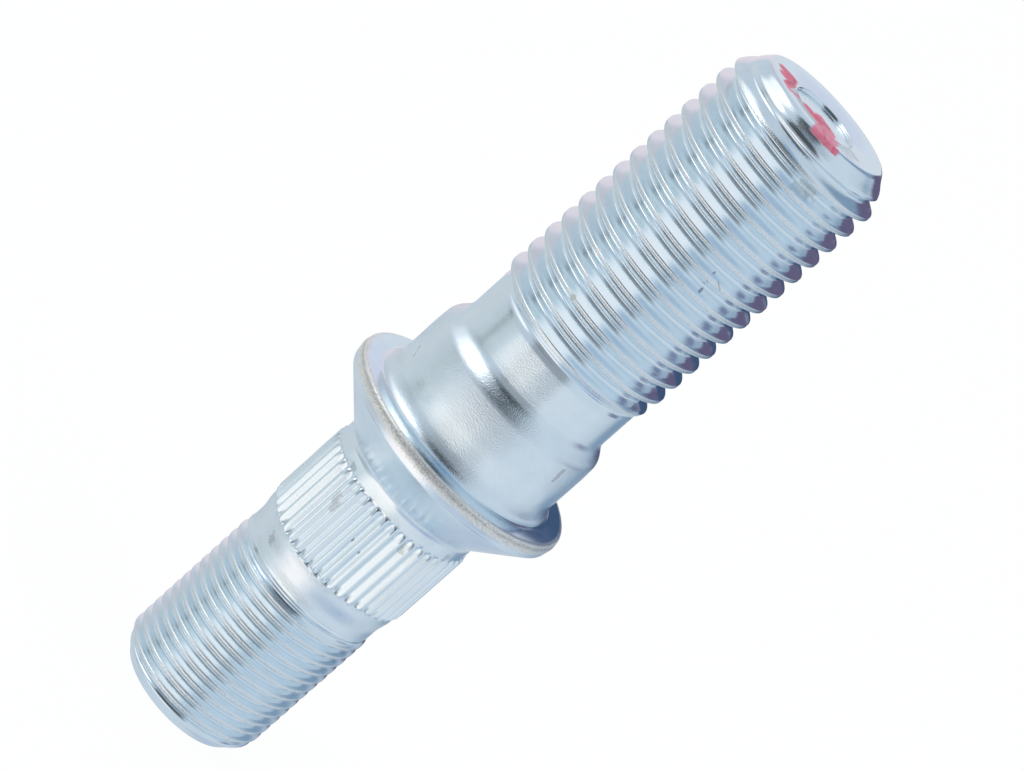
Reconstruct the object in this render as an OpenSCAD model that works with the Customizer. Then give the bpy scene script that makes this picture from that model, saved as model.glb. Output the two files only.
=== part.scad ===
// Double-ended wheel stud, forged and thread-rolled in one piece from steel bar.
// Z runs along the stud. Z = 0 is the flat end of the fine thread, which the stud stands on.
// From there up: fine hub thread, plain neck, press-fit serrations, conical collar,
// plain spigot, rolling neck and coarse wheel-nut thread with a dished end.
// -Y is the side where both lead values are measured.

/* [Fine hub thread] */
// Outside diameter of the fine thread, M19 less its usual allowance
fine_d = 18.85; // [18.6:0.05:19.2]
// Distance from one turn of the fine thread to the next
fine_pitch = 1.5; // [1.25:0.05:1.75]
// Radial depth of the fine thread, from crest to root
fine_depth = 0.84; // [0.6:0.02:0.92]
// Length of the fine thread with its chamfer and its run-out
fine_len = 21; // [16:0.5:30]
// Diameter of the flat end of the fine thread
fine_face_d = 15.6; // [14:0.1:16.6]
// Height above the flat end of the first crest
fine_lead = 1.27; // [0:0.01:1.5]
// Flat sides round one turn of the fine thread
fine_sides = 30; // [24:2:36]

/* [Neck and press-fit serrations] */
// Diameter of the plain neck above the fine thread
neck_d = 18.36; // [18:0.02:18.5]
// Length of the neck with its taper up to the serrations
neck_len = 3.75; // [3:0.25:8]
// Diameter of the plain band on both sides of the serrations
band_d = 19; // [18.8:0.05:19.1]
// Diameter over the crests of the serrations
serration_d = 19.56; // [19.4:0.02:19.8]
// Diameter at the bottom of the grooves between the serrations
serration_root_d = 18.56; // [18.4:0.02:18.7]
// Number of serrations round the stud
serration_count = 42; // [30:1:48]
// Length of the serrations with their sloping ends
serration_len = 10.6; // [8:0.2:16]
// Length of the plain band between the serrations and the collar
band_len = 1.8; // [1:0.1:4]

/* [Collar] */
// Diameter of the collar
collar_d = 30.24; // [28:0.1:34]
// Angle of the conical underside of the collar to the axis
collar_seat_angle = 45; // [40:1:55]
// Height of the collar's rim
rim_h = 2.1; // [1.6:0.1:3]
// Radius of the rim's upper edge
rim_edge_r = 0.45; // [0.3:0.05:0.7]
// Radius of the corner between the collar's flat top and the spigot
collar_fillet_r = 1.2; // [0.5:0.1:1.6]
// Radius of the corner between the collar's conical underside and the band below it
seat_fillet_r = 1.6; // [0.8:0.1:1.8]

/* [Spigot] */
// Diameter of the plain spigot that centres the wheel
spigot_d = 23.26; // [22.6:0.02:24]
// Length of the spigot from the collar's flat top to its shoulder
spigot_len = 7.9; // [6:0.1:14]
// Slope of the shoulder to the axis
shoulder_angle = 38; // [30:1:45]
// Radius of the shoulder's outer and inner curves
shoulder_r = 2.2; // [1.2:0.1:2.6]
// Diameter that the coarse thread was rolled from
roll_d = 20.48; // [20.2:0.02:20.8]
// Length of the plain neck between the shoulder and the coarse thread
roll_len = 4.1; // [2:0.1:8]

/* [Coarse wheel-nut thread] */
// Outside diameter of the coarse thread, M22 less its usual allowance
coarse_d = 21.8; // [21.4:0.05:22]
// Distance from one turn of the coarse thread to the next
coarse_pitch = 2.5; // [2:0.1:3]
// Radial depth of the coarse thread, from crest to root
coarse_depth = 1.4; // [1.1:0.02:1.5]
// Length of the coarse thread with its chamfer and its run-out
coarse_len = 38; // [30:0.5:60]
// Diameter of the flat end of the coarse thread
coarse_face_d = 16.7; // [15.6:0.1:17.6]
// Depth below the flat end of the last full crest
coarse_lead = 3.48; // [2.5:0.01:5]
// Flat sides round one turn of the coarse thread
coarse_sides = 32; // [24:2:36]

/* [Ends] */
// Angle of both end chamfers to the axis
chamfer_angle = 34; // [30:1:45]
// Diameter of the shallow dish pressed into the coarse end
dish_d = 8.4; // [8:0.2:10]
// Diameter of the dish's flat floor
dish_floor_d = 7.6; // [6:0.2:7.8]
// Depth of the dish
dish_depth = 0.35; // [0.2:0.05:0.6]
// Distance of the dish's centre from the axis, towards the front
dish_offset = 1.8; // [0:0.1:2.5]

/* [Hidden] */

fine_hand = 1;
coarse_hand = -1;
steel_colour = [0.74, 0.82, 0.9];
front_angle = -90;

// Form of both threads, as shares of the pitch and of the depth
crest_share = 0.2;
crest_round = 0.05;
root_share = 0.2;
root_round = 0.12;
runout_turns = 0.95;
// How far a thread's core reaches into the shank, and how far short of it the run-out ends
thread_embed = 0.5;
runout_gap = 0.1;
// How far the core lies inside the plain shank, and how near to an end a row joins that end
core_inset = 0.03;
row_snap = 0.03;

round_steps = 8;
edge_steps = 5;
turned_sides = 96;
cut_over = 1;

// Widths of a serration's flat crest and of the groove's flat bottom, as shares of the step
serration_crest_share = 0.12;
serration_root_share = 0.1;
// Turn of the first groove from the front
serration_turn = 1.2;
// Length of the slope in the shank below each end of the serrations, and the depth it reaches
serration_ramp = 0.45;
serration_embed = 0.16;
neck_taper = 2.3;
neck_band = 0.45;
rim_barrel = 0.14;
rim_top_barrel = 0.09;
rim_foot_r = 0.6;

fine_r = fine_d / 2;
neck_r = neck_d / 2;
band_r = band_d / 2;
spigot_r = spigot_d / 2;
roll_r = roll_d / 2;
coarse_r = coarse_d / 2;
collar_r = collar_d / 2;

neck_z = fine_len;
serration_z = neck_z + neck_len;
serration_top = serration_z + serration_len;
seat_z = serration_top + band_len;
rim_r = collar_r - rim_barrel;
rim_z = seat_z + (rim_r - band_r) / tan(collar_seat_angle);
collar_top = rim_z + rim_h;
shoulder_z = collar_top + spigot_len;
shoulder_curve = shoulder_r * (1 - cos(shoulder_angle));
shoulder_ramp = (spigot_r - roll_r - 2 * shoulder_curve) / tan(shoulder_angle);
shoulder_len = 2 * shoulder_r * sin(shoulder_angle) + shoulder_ramp;
roll_z = shoulder_z + shoulder_len;
coarse_z = roll_z + roll_len;
total_len = coarse_z + coarse_len;

// Points along an arc of radius r about (cx, cz), as radius and height
function arc(cx, cz, r, from, to, steps) =
    [for (i = [0 : steps]) let (a = from + (to - from) * i / steps) [cx + r * cos(a), cz + r * sin(a)]];

// Rises from 0 to 1 as x does, with level ends
function ease(x) = let (t = min(max(x, 0), 1)) t * t * (3 - 2 * t);

// Outline of the turned part between the two threads, from the axis out and back to the axis
function shank_outline() = let (
    taper_z = serration_z - neck_band - neck_taper,
    core_r = serration_root_d / 2 - serration_embed
) concat(
    [[0, neck_z], [neck_r, neck_z]],
    [for (i = [0 : round_steps]) let (t = i / round_steps)
        [neck_r + (band_r - neck_r) * ease(t), taper_z + neck_taper * t]],
    [[band_r, serration_z], [core_r, serration_z + serration_ramp],
     [core_r, serration_top - serration_ramp], [band_r, serration_top]],
    collar_outline(),
    shoulder_outline(),
    [[roll_r, coarse_z], [0, coarse_z]]
);

// Outline of the collar: corner, conical seat, barrelled rim, rounded edge, flat top and corner
function collar_outline() = let (
    half_angle = collar_seat_angle / 2,
    edge_r = collar_r - rim_top_barrel - rim_edge_r
) concat(
    arc(band_r + seat_fillet_r, seat_z - seat_fillet_r * tan(half_angle), seat_fillet_r,
        180, 180 - collar_seat_angle, edge_steps),
    arc(rim_r - rim_foot_r, rim_z + rim_foot_r * tan(half_angle), rim_foot_r,
        -collar_seat_angle, 0, edge_steps),
    [[collar_r, rim_z + rim_h / 2]],
    arc(edge_r, collar_top - rim_edge_r, rim_edge_r, 0, 90, edge_steps),
    arc(spigot_r + collar_fillet_r, collar_top + collar_fillet_r, collar_fillet_r, 270, 180, edge_steps)
);

// Outline of the shoulder: an outer curve, a straight slope and an inner curve
function shoulder_outline() = concat(
    arc(spigot_r - shoulder_r, shoulder_z, shoulder_r, 0, shoulder_angle, round_steps),
    arc(roll_r + shoulder_r, roll_z, shoulder_r, 180 + shoulder_angle, 180, round_steps)
);

// Corners of one V-shaped serration in the cross-section, from groove to groove
function serration_points(i) = let (
    step = 360 / serration_count,
    middle = front_angle + serration_turn + (i + 1 / 2) * step,
    half_crest = step * serration_crest_share / 2,
    half_foot = step * (1 - serration_root_share) / 2,
    crest = serration_d / 2,
    root = serration_root_d / 2
) [for (p = [[-half_foot, root], [-half_crest, crest], [half_crest, crest], [half_foot, root]])
    p[1] * [cos(middle + p[0]), sin(middle + p[0])]];

// A rolled thread and its core as one closed skin from z_lo to z_hi. Its free end has a flat face of
// radius r_free and a chamfer, and at the other end it runs out onto the plain shank. z_front is the
// height of a crest at the front. Each row of rows is a share of the pitch and a share of the depth.
module thread(z_lo, z_hi, free_top, r_free, r_crest, r_shank, depth, pitch, hand, sides, z_front, rows) {
    per = len(rows);
    turn_lo = floor((z_lo - z_front) / pitch) - 1;
    turn_hi = ceil((z_hi - z_front) / pitch) + 1;
    count = per * (turn_hi - turn_lo + 1);
    slope = tan(chamfer_angle);

    // Distances from the free end's face and from the end of the run-out
    function from_face(z) = free_top ? z_hi - z : z - z_lo;
    function from_runout(z) = (free_top ? z - z_lo : z_hi - z) - thread_embed - runout_gap;
    // Radius at a height and a share of the thread's depth, held inside the chamfer
    function radius(z, drop) = let (full = ease(from_runout(z) / (pitch * runout_turns)))
        min(r_free + from_face(z) * slope,
            (r_shank - core_inset) * (1 - full) + (r_crest - depth * drop) * full);
    function row_z(row, step) =
        z_front + pitch * (turn_lo + floor(row / per) + rows[row % per][0] + hand * step / sides);
    function at(r, step, z) =
        let (a = front_angle + 360 * step / sides) [r * cos(a), r * sin(a), z];
    // Number of the point that stands for a row at a step: rows past an end fall onto its rim
    function id(row, step) = let (
        z = row_z(row, step),
        s = step % sides,
        row_here = step == sides ? row + hand * per : row
    ) z < z_lo + row_snap ? s : z > z_hi - row_snap ? sides + s : (2 + row_here) * sides + s;

    points = concat(
        [for (s = [0 : sides - 1]) at(radius(z_lo, 0), s, z_lo)],
        [for (s = [0 : sides - 1]) at(radius(z_hi, 0), s, z_hi)],
        [for (row = [0 : count - 1], s = [0 : sides - 1])
            let (z = row_z(row, s)) at(radius(z, rows[row % per][1]), s, z)],
        [[0, 0, z_lo], [0, 0, z_hi]]
    );
    low_centre = len(points) - 2;
    high_centre = len(points) - 1;
    faces = concat(
        [for (s = [0 : sides - 1]) [low_centre, s, (s + 1) % sides]],
        [for (s = [0 : sides - 1]) [high_centre, sides + (s + 1) % sides, sides + s]],
        [for (row = [0 : count - 2], s = [0 : sides - 1])
            let (a = id(row, s), b = id(row + 1, s), c = id(row + 1, s + 1), d = id(row, s + 1))
            each [if (a != b && b != c && a != c) [a, b, c], if (a != c && c != d && a != d) [a, c, d]]]
    );
    polyhedron(points = points, faces = faces, convexity = 10);
}

// Rows of one pitch of the coarse thread: a rounded crest and a hollow root
coarse_rows = [
    [-crest_share / 2, crest_round], [0, 0], [crest_share / 2, crest_round],
    [(1 - root_share) / 2, 1 - root_round], [1 / 2, 1], [(1 + root_share) / 2, 1 - root_round]
];
// Rows of one pitch of the fine thread: a flat crest and a flat root
fine_rows = [
    [-crest_share / 2, 0], [crest_share / 2, 0], [(1 - root_share) / 2, 1], [(1 + root_share) / 2, 1]
];

// Turned and forged middle of the stud, with its neck, bands, collar, spigot and shoulder
module shank() {
    rotate_extrude($fn = turned_sides) polygon(shank_outline());
}

// Rolled serrations that grip the hub, with sloping ends
module serrations() {
    over_r = serration_d / 2 + cut_over;
    foot_r = serration_root_d / 2 - serration_embed / 2;
    intersection() {
        translate([0, 0, serration_z])
            linear_extrude(serration_len)
                polygon([for (i = [0 : serration_count - 1]) each serration_points(i)]);
        rotate_extrude($fn = turned_sides) polygon([
            [0, serration_z], [foot_r, serration_z],
            [over_r, serration_z + over_r - foot_r],
            [over_r, serration_top - over_r + foot_r],
            [foot_r, serration_top], [0, serration_top]
        ]);
    }
}

// Right-hand thread that holds the stud in the hub
module fine_thread() {
    thread(0, neck_z + thread_embed, false, fine_face_d / 2, fine_r, neck_r, fine_depth, fine_pitch,
        fine_hand, fine_sides, fine_lead, fine_rows);
}

// Left-hand thread for the wheel nut, with a shallow dish pressed into its end, off the axis
module coarse_thread() {
    difference() {
        thread(coarse_z - thread_embed, total_len, true, coarse_face_d / 2, coarse_r, roll_r, coarse_depth,
            coarse_pitch, coarse_hand, coarse_sides, total_len - coarse_lead, coarse_rows);
        translate([0, -dish_offset, 0]) rotate_extrude($fn = turned_sides) polygon([
            [0, total_len - dish_depth], [dish_floor_d / 2, total_len - dish_depth],
            [dish_d / 2, total_len], [dish_d / 2, total_len + cut_over], [0, total_len + cut_over]
        ]);
    }
}

module wheel_stud() {
    color(steel_colour) union() {
        shank();
        serrations();
        fine_thread();
        coarse_thread();
    }
}

wheel_stud();
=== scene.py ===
"""Finish and setting of a double-ended wheel bolt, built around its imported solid.

The bolt stands on the flat end of its fine thread. +Z runs towards the coarse thread, and -Y is its front.
Lengths are in metres, and angles round the bolt are measured from its front towards -X.
"""

import logging
import math
from dataclasses import dataclass, field
from enum import Enum

import bmesh
import bpy
from mathutils import Matrix, Vector, noise


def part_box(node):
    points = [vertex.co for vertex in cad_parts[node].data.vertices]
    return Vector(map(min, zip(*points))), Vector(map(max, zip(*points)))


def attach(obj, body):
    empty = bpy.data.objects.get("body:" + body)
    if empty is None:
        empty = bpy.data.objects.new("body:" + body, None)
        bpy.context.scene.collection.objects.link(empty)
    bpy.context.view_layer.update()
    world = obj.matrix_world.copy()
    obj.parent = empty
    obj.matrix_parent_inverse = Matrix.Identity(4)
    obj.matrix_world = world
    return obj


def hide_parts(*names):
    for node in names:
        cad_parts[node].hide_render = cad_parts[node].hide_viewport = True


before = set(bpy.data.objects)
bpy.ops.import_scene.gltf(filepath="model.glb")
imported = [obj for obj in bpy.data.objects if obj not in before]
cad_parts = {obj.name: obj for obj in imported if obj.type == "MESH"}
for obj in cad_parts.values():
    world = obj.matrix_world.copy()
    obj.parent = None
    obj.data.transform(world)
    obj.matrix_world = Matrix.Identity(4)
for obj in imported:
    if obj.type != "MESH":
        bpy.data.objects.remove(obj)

LOG = logging.getLogger("wheel_bolt")

MM = 0.001
AXIS = (0.0, 0.0, 1.0)
ORIGIN = (0.0, 0.0, 0.0)
FRONT = math.radians(-90)
FULL_TURN = 2 * math.pi
WELD = 0.002 * MM

NODE = "wheel_stud"
BODY = "root"

Point = tuple[float, float]
Colour = tuple[float, float, float]
Names = tuple[str, ...]
Socket = bpy.types.NodeSocket


class Hand(Enum):
    """The way a thread winds."""

    RIGHT = 1
    LEFT = -1


class End(Enum):
    """The free end of a thread."""

    TOP = 1
    BOTTOM = -1


def ease(share: float) -> float:
    """Rises from 0 to 1 as share does, with level ends."""
    held = min(max(share, 0.0), 1.0)
    return held * held * (3 - 2 * held)


def soft_min(first: float, second: float, width: float) -> float:
    """The smaller of two lengths, rounded where they are within width of each other."""
    near = max(width - abs(first - second), 0.0) / width
    return min(first, second) - near * near * width / 4


def turn_from_front(x: float, y: float) -> float:
    """Angle of a point round the bolt from the front, anticlockwise seen from +Z."""
    return (math.atan2(y, x) - FRONT) % FULL_TURN


@dataclass
class Outline:
    """Half of a turned section, drawn as points of radius and height.

    Args:
        points: The points so far, in order.
    """

    points: list[Point] = field(default_factory=list)

    def line(self, radius: float, height: float, steps: int = 1) -> "Outline":
        """Goes straight to a point.

        Args:
            radius: The point's radius.
            height: The point's height.
            steps: How many equal parts the line has.

        Returns:
            This outline.
        """
        if not self.points:
            self.points.append((radius, height))
            return self
        from_r, from_z = self.points[-1]
        for step in range(1, steps + 1):
            share = step / steps
            self.points.append((from_r + (radius - from_r) * share, from_z + (height - from_z) * share))
        return self

    def arc(self, centre: Point, radius: float, start: float, end: float, steps: int) -> "Outline":
        """Goes along an arc, after a straight line to its start.

        Args:
            centre: Radius and height of the arc's centre.
            radius: Radius of the arc.
            start: First angle in degrees, where 0 points outwards and 90 up.
            end: Last angle in degrees.
            steps: How many parts the arc has.

        Returns:
            This outline.
        """
        for step in range(steps + 1):
            angle = math.radians(start + (end - start) * step / steps)
            self.line(centre[0] + radius * math.cos(angle), centre[1] + radius * math.sin(angle))
        return self


@dataclass
class Section:
    """A length of the bolt's skin with an open ring at one end or at both.

    Args:
        mesh: The skin.
        low: Height of the lower ring, or None where the skin is closed.
        high: Height of the upper ring, or None where the skin is closed.
    """

    mesh: bmesh.types.BMesh
    low: float | None
    high: float | None


def wire(points: list[Point]) -> bmesh.types.BMesh:
    """Draws a chain of edges at the front.

    Args:
        points: Radius and height of each point.

    Returns:
        A new bmesh with the chain.
    """
    mesh = bmesh.new()
    chain = [mesh.verts.new((0.0, -radius, height)) for radius, height in points]
    for first, second in zip(chain, chain[1:]):
        mesh.edges.new((first, second))
    return mesh


def revolve(outline: Outline, columns: int, low: float | None, high: float | None) -> Section:
    """Turns an outline about the bolt's axis.

    Args:
        outline: The outline, from its lower ring to its upper one.
        columns: Number of points round the turn.
        low: Height of the lower ring, or None.
        high: Height of the upper ring, or None.

    Returns:
        The turned skin.
    """
    mesh = wire(outline.points)
    bmesh.ops.spin(mesh, geom=mesh.verts[:] + mesh.edges[:], cent=ORIGIN, axis=AXIS,
                   angle=FULL_TURN, steps=columns, use_merge=True)
    bmesh.ops.remove_doubles(mesh, verts=mesh.verts[:], dist=WELD)
    return Section(mesh, low, high)


@dataclass(frozen=True)
class Chamfer:
    """The slightly convex chamfer at a free end.

    Args:
        face_d: Diameter of the flat face.
        crest_d: Diameter over the thread's crests.
        angle: Angle to the axis, in degrees.
        barrel: How far the chamfer bulges.
    """

    face_d: float
    crest_d: float
    angle: float = 34.0
    barrel: float = 0.09 * MM

    def radius(self, distance: float) -> float:
        """Radius of the chamfer at a distance from the face along the axis."""
        slope = math.tan(math.radians(self.angle))
        share = min(distance * slope / ((self.crest_d - self.face_d) / 2), 1.0)
        return self.face_d / 2 + distance * slope + self.barrel * 4 * share * (1 - share)


@dataclass
class RolledThread:
    """One of the bolt's two threads, rolled onto its blank.

    Args:
        crest_d: Diameter over the crests.
        blank_d: Diameter of the plain shank where the thread runs out.
        pitch: Distance from one turn to the next.
        depth: Depth of the thread from crest to root.
        root_r: Radius at the bottom of the groove.
        lip_r: Radius of each lip of the crest.
        seam_depth: Depth of the seam between the two lips.
        hand: The way the thread winds.
        lead: Height of a crest at the front.
        face_z: Height of the flat face at the free end.
        chamfer: The chamfer at that end.
        free_end: Which end of the thread is free.
        shank_z: Height at which the thread meets the plain shank.
        columns: Number of points round one turn.
        flank: Lean of the flanks in degrees.
        lip_steps: Parts of each lip.
        flank_steps: Parts of each flank.
        root_steps: Parts of half the root.
        runout_turns: Turns over which the thread fades out.
        runout_gap: Plain length before it.
        cap_h: Length of the free end that the end face takes over.
        seam_share: How far out the floor of the seam reaches.
        burr: How far the crests stand out of the chamfer.
        burr_start: Where on the chamfer they begin to, in turns.
        burr_turns: Turns over which they rise.
        join_r: Width of the rounding between thread and chamfer.
        wander: How far the surface strays from its true form.
        wander_scale: Length over which it strays.
        rough_edge: How sharply the rough crest ends along the axis.
        rough_depth: Depth over which the rough crest fades, as a share of the thread's.
        rough_reach: How far down it reaches, in such depths.
    """

    crest_d: float
    blank_d: float
    pitch: float
    depth: float
    root_r: float
    lip_r: float
    seam_depth: float
    hand: Hand
    lead: float
    face_z: float
    chamfer: Chamfer
    free_end: End
    shank_z: float
    columns: int = 120
    flank: float = 30.0
    lip_steps: int = 4
    flank_steps: int = 2
    root_steps: int = 2
    runout_turns: float = 0.95
    runout_gap: float = 0.1 * MM
    cap_h: float = 0.5 * MM
    seam_share: float = 0.3
    burr: float = 0.14 * MM
    burr_start: float = 0.25
    burr_turns: float = 0.5
    join_r: float = 0.24 * MM
    wander: float = 0.015 * MM
    wander_scale: float = 3.0 * MM
    rough_edge: float = 1.8
    rough_depth: float = 0.2
    rough_reach: float = 1.5

    def crest_half(self) -> float:
        """Half the width of the crest, out to where the flank begins."""
        lean = math.radians(self.flank)
        rise = self.depth - (self.root_r + self.lip_r) * (1 - math.sin(lean))
        return self.pitch / 2 - self.root_r * math.cos(lean) - rise * math.tan(lean)

    def half_profile(self) -> list[Point]:
        """Draws half a pitch, from the middle of the crest to the middle of the root.

        Returns:
            Points of offset along the axis and depth below the crest.
        """
        lean = math.radians(self.flank)
        root_z = self.pitch / 2
        upright = math.radians(90)
        flank_low = Vector((root_z - self.root_r * math.cos(lean),
                            self.depth - self.root_r * (1 - math.sin(lean))))
        flank_high = Vector((self.crest_half(), self.lip_r * (1 - math.sin(lean))))
        lip = Vector((flank_high.x - self.lip_r * math.cos(lean), self.lip_r))
        points = [(0.0, self.seam_depth), (lip.x * self.seam_share, self.seam_depth * (1 - self.seam_share))]
        for step in range(self.lip_steps + 1):
            angle = upright - (upright - lean) * step / self.lip_steps
            points.append((lip.x + self.lip_r * math.cos(angle), lip.y - self.lip_r * math.sin(angle)))
        for step in range(1, self.flank_steps):
            here = flank_high.lerp(flank_low, step / self.flank_steps)
            points.append((here.x, here.y))
        for step in range(self.root_steps + 1):
            angle = lean + (upright - lean) * step / self.root_steps
            points.append((root_z - self.root_r * math.cos(angle),
                           self.depth - self.root_r + self.root_r * math.sin(angle)))
        return points

    def pitch_profile(self) -> list[Point]:
        """One whole pitch from root to root, as offset from the crest and depth below it."""
        half = self.half_profile()
        return [(-offset, drop) for offset, drop in reversed(half)] + half[1:]

    def form(self, height: float, radius: float) -> float:
        """Fades the thread out onto the shank and cuts its free end to the chamfer.

        Args:
            height: Height of the point.
            radius: Its radius on the full thread.

        Returns:
            Its radius on the bolt.
        """
        sign = self.free_end.value
        from_shank = sign * (height - self.shank_z) - self.runout_gap
        full = ease(from_shank / (self.pitch * self.runout_turns))
        formed = self.blank_d / 2 * (1 - full) + radius * full
        distance = sign * (self.face_z - height)
        rise = (radius - self.crest_d / 2) / self.depth + 1
        risen = ease((distance / self.pitch - self.burr_start) / self.burr_turns)
        limit = self.chamfer.radius(distance) + self.burr * rise * risen
        return soft_min(formed, limit, self.join_r)

    def section(self) -> Section:
        """Winds the thread as one skin and trims it flat at both ends.

        Returns:
            The thread's skin.
        """
        low, high = sorted((self.shank_z, self.face_z - self.free_end.value * self.cap_h))
        first = math.floor((low - self.lead) / self.pitch) - 1
        last = math.ceil((high - self.lead) / self.pitch) + 1
        mesh = wire([(self.crest_d / 2 - drop, self.lead + first * self.pitch + offset)
                     for offset, drop in self.pitch_profile()])
        bmesh.ops.spin(mesh, geom=mesh.verts[:] + mesh.edges[:], cent=ORIGIN, axis=AXIS,
                       dvec=(0.0, 0.0, self.hand.value * self.pitch / self.columns),
                       angle=FULL_TURN, steps=self.columns, use_merge=False)
        one_turn = mesh.verts[:] + mesh.edges[:] + mesh.faces[:]
        for turn in range(first + 1, last + 1):
            copy = bmesh.ops.duplicate(mesh, geom=one_turn)["geom"]
            bmesh.ops.translate(mesh, verts=[item for item in copy if isinstance(item, bmesh.types.BMVert)],
                                vec=(0.0, 0.0, (turn - first) * self.pitch))
        bmesh.ops.remove_doubles(mesh, verts=mesh.verts[:], dist=WELD)
        for vert in mesh.verts:
            radius = math.hypot(vert.co.x, vert.co.y)
            shifted = self.form(vert.co.z, radius + self.wander * noise.noise(vert.co / self.wander_scale))
            vert.co.x *= shifted / radius
            vert.co.y *= shifted / radius
        for height, keep_up in ((low, True), (high, False)):
            bmesh.ops.bisect_plane(mesh, geom=mesh.verts[:] + mesh.edges[:] + mesh.faces[:], dist=WELD,
                                   plane_co=(0.0, 0.0, height), plane_no=AXIS,
                                   clear_inner=keep_up, clear_outer=not keep_up)
        return Section(mesh, low, high)

    def from_crest(self, place: Vector) -> float:
        """Distance of a point along the axis from the nearest crest.

        Args:
            place: The point.

        Returns:
            The distance, without its sign.
        """
        turn = self.hand.value * turn_from_front(place.x, place.y) / FULL_TURN
        off = ((place.z - self.lead) / self.pitch - turn + 0.5) % 1.0 - 0.5
        return abs(off) * self.pitch

    def holds(self, place: Vector) -> bool:
        """Whether a point lies on this thread."""
        low, high = sorted((self.shank_z, self.face_z))
        return low < place.z < high

    def seam(self, place: Vector) -> float:
        """How far a point lies on the rough crest.

        Args:
            place: A point of the skin.

        Returns:
            1 along the middle of the crest and 0 away from it.
        """
        if not self.holds(place):
            return 0.0
        drop = self.crest_d / 2 - math.hypot(place.x, place.y)
        across = 1 - self.from_crest(place) / self.crest_half()
        down = self.rough_reach - drop / (self.rough_depth * self.depth)
        return ease(self.rough_edge * across) * ease(down)


@dataclass
class Serrations:
    """The ring of rolled press-fit serrations.

    Args:
        low: Height of the lower ring.
        high: Height of the upper ring.
        band_d: Diameter of the plain bands below and above.
        crest_d: Diameter over the crests.
        root_d: Diameter in the grooves.
        count: Number of serrations.
        crest_share: Flat of a crest as a share of one serration.
        root_share: Flat of a groove as a share of one serration.
        first_groove: Turn of the first groove from the front, in degrees.
        ramp: Length of the sloping ends.
        dimple: Depth of the dimple beyond each sloping end.
        uneven: How unevenly the crests are worn.
        uneven_h: Length over which that changes, in millimetres.
        rows: Parts of the length between the sloping ends.
        ramp_rows: Parts of a sloping end.
        flank_shares: Heights of the columns on a flank, as shares of the depth.
        soften: Height of the column beside the flat of a groove or crest, as a share of the depth.
    """

    low: float = 24.75 * MM
    high: float = 35.35 * MM
    band_d: float = 19.0 * MM
    crest_d: float = 19.56 * MM
    root_d: float = 18.56 * MM
    count: int = 42
    crest_share: float = 0.12
    root_share: float = 0.1
    first_groove: float = 1.2
    ramp: float = 0.5 * MM
    dimple: float = 0.03 * MM
    uneven: float = 0.03 * MM
    uneven_h: float = 4.0
    rows: int = 12
    ramp_rows: int = 4
    flank_shares: tuple[float, ...] = (0.15, 0.5, 0.85)
    soften: tuple[float, float] = (0.03, 0.96)

    def columns(self) -> list[Point]:
        """Columns of one V-shaped serration: share of its width from the groove, and of its depth."""
        foot, crest = self.root_share / 2, (1 - self.crest_share) / 2
        rise = [(0.0, 0.0), (foot, self.soften[0])]
        for share in self.flank_shares:
            rise.append((foot + (crest - foot) * share, share))
        rise.append((crest, self.soften[1]))
        return rise + [(0.5, 1.0)] + [(1 - place, height) for place, height in reversed(rise[1:])]

    def section(self) -> Section:
        """Turns a plain band and presses the grooves into it.

        Returns:
            The serrated skin.
        """
        columns = self.columns()
        band_r = self.band_d / 2
        outline = Outline().line(band_r, self.low)
        outline.line(band_r, self.low + self.ramp, self.ramp_rows)
        outline.line(band_r, self.high - self.ramp, self.rows)
        outline.line(band_r, self.high, self.ramp_rows)
        made = revolve(outline, self.count * len(columns), self.low, self.high)
        width = FULL_TURN / self.count
        depth = (self.crest_d - self.root_d) / 2
        for vert in made.mesh.verts:
            turn = turn_from_front(vert.co.x, vert.co.y)
            number = round(turn / width * len(columns))
            tooth = number // len(columns) % self.count
            share, rise = columns[number % len(columns)]
            angle = FRONT + math.radians(self.first_groove) + (tooth + share) * width
            inset = min(vert.co.z - self.low, self.high - vert.co.z)
            formed = ease(inset / self.ramp)
            bite = self.dimple * (1 - rise) * math.exp(-((inset / self.ramp - 1) * 2) ** 2)
            spot = Vector((tooth + round(share), vert.co.z / MM / self.uneven_h, 0.0))
            worn = self.uneven * rise * noise.noise(spot)
            pressed = self.root_d / 2 + rise * depth - bite - abs(worn)
            radius = band_r * (1 - formed) + pressed * formed
            vert.co.x, vert.co.y = radius * math.cos(angle), radius * math.sin(angle)
        return made


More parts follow.
